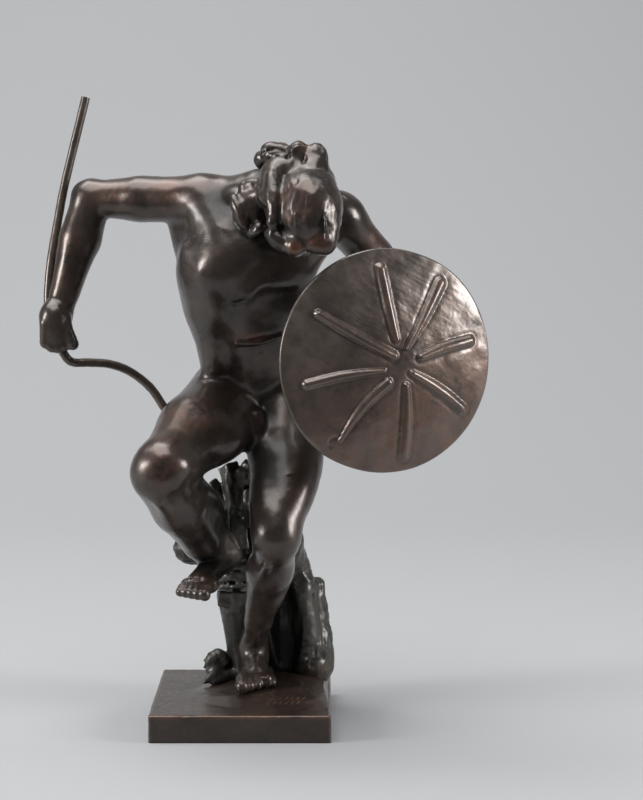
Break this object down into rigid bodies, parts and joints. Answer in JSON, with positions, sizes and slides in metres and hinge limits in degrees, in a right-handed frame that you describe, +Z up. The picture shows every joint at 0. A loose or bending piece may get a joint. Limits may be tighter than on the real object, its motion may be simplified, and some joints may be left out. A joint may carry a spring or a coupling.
{
  "type": "bronze dancer statuette",
  "caption": "Bronze statuette of a bowed dancer on one leg with a round ribbed shield and a long bent bow, before a tree stump on a square plinth.",
  "frame": {"origin": "centre of the plinth's underside", "axes": "+Z up, -Y towards the side that the figure faces, +X towards the figure's left hand"},
  "size_m": [0.1841, 0.1078, 0.2627],
  "materials": {
    "figure_bronze": "cast bronze with a dark brown polished patina, worn reddish on the high places",
    "shield_bronze": "cast bronze with a worn brown patina, brushed and gouged in the wax",
    "bow_bronze": "drawn bronze rod with a dark brown patina"
  },
  "bodies": {
    "root": {"dancer": "figure_bronze", "shield": "shield_bronze", "bow": "bow_bronze"}
  },
  "joints": []
}
